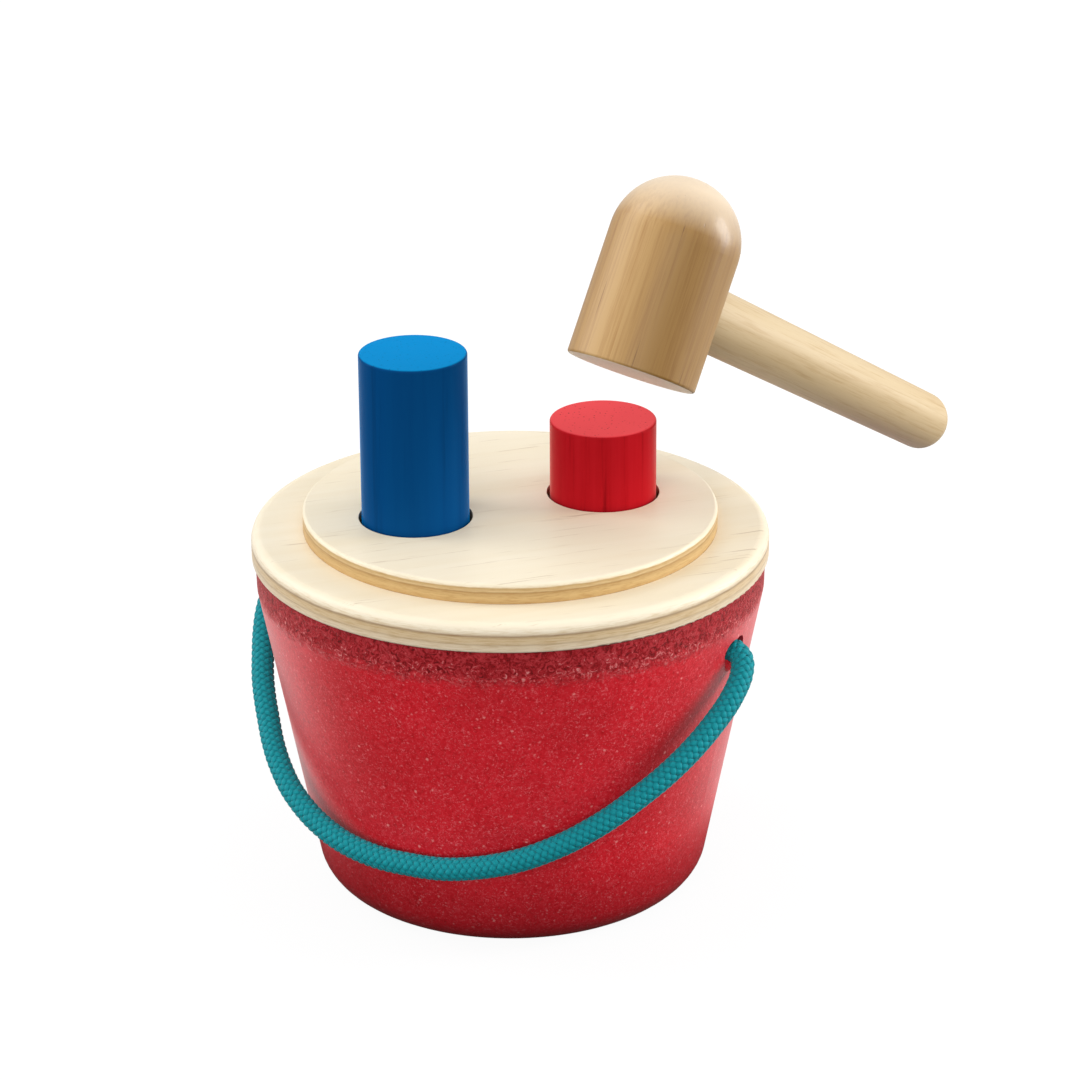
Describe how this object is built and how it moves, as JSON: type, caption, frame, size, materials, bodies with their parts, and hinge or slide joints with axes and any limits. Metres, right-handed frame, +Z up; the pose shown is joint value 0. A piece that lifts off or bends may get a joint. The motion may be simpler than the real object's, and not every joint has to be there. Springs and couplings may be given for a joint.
{
  "type": "peg pounding bucket",
  "caption": "Toy pounding bucket: pegs see-saw on a rocker under a plywood lid, on a pressed wood-fibre pail with a rope handle and a wooden hammer.",
  "frame": {"origin": "middle of the pail's flat base, on the floor", "axes": "+Z up; X along the line through the two rope holes; the rope hangs on the -Y side"},
  "size_m": [0.1765, 0.2022, 0.2291],
  "materials": {
    "red_fibreboard": "pressed and dyed wood fibre, satin, rough band under the rim",
    "birch_plywood": "fine-sanded, plies show at the edges",
    "beech": "sanded",
    "blue_wood": "stained, satin lacquer",
    "red_wood": "stained, satin lacquer",
    "rubberwood": "sanded, satin lacquer",
    "pale_wood": "sanded, satin lacquer",
    "steel": "zinc plated",
    "nylon": "moulded, matt",
    "teal_rope": "braided"
  },
  "bodies": {
    "pail": {"bucket": "red_fibreboard"},
    "lid": {"flange_disc": "birch_plywood", "top_disc": "birch_plywood", "register_disc": "birch_plywood", "lid_dowels": "beech", "front_cheek": "beech", "back_cheek": "beech", "front_cheek_screws": "steel", "back_cheek_screws": "steel", "rocker_axle": "steel", "front_washer": "nylon", "back_washer": "nylon"},
    "rocker": {"rocker_plank": "beech", "rocker_block": "beech", "block_screws": "steel"},
    "blue_peg": {"blue_peg": "blue_wood", "blue_peg_foot": "beech"},
    "red_peg": {"red_peg": "red_wood", "red_peg_foot": "beech"},
    "hammer": {"hammer_head": "rubberwood", "hammer_handle": "pale_wood"},
    "rope_handle": {"handle_cord": "teal_rope", "left_knot": "teal_rope", "right_knot": "teal_rope"}
  },
  "joints": [
    {"name": "lid_lift", "type": "slide", "parent": "pail", "child": "lid", "axis": [0, 0, 1], "range_m": [0, 0.08]},
    {"name": "rocker_tilt", "type": "hinge", "parent": "lid", "child": "rocker", "pos_m": [0, 0, 0.0765], "axis": [0.7071, -0.7071, 0], "range_deg": [0, 50.77]},
    {"name": "blue_press", "type": "slide", "parent": "lid", "child": "blue_peg", "axis": [0, 0, -1], "range_m": [0, 0.028]},
    {"name": "red_rise", "type": "slide", "parent": "lid", "child": "red_peg", "axis": [0, 0, 1], "range_m": [0, 0.028]},
    {"name": "hammer_lift", "type": "slide", "parent": "lid", "child": "hammer", "axis": [0, 0, 1], "range_m": [0, 0.1]},
    {"name": "handle_swing", "type": "hinge", "parent": "pail", "child": "rope_handle", "pos_m": [0, 0, 0.086], "axis": [-1, 0, 0], "range_deg": [0, 44]}
  ],
  "couplings": [
    {"joint": "blue_press", "follows": "rocker_tilt", "m_per_rad": 0.031595},
    {"joint": "red_rise", "follows": "rocker_tilt", "m_per_rad": 0.031595}
  ]
}
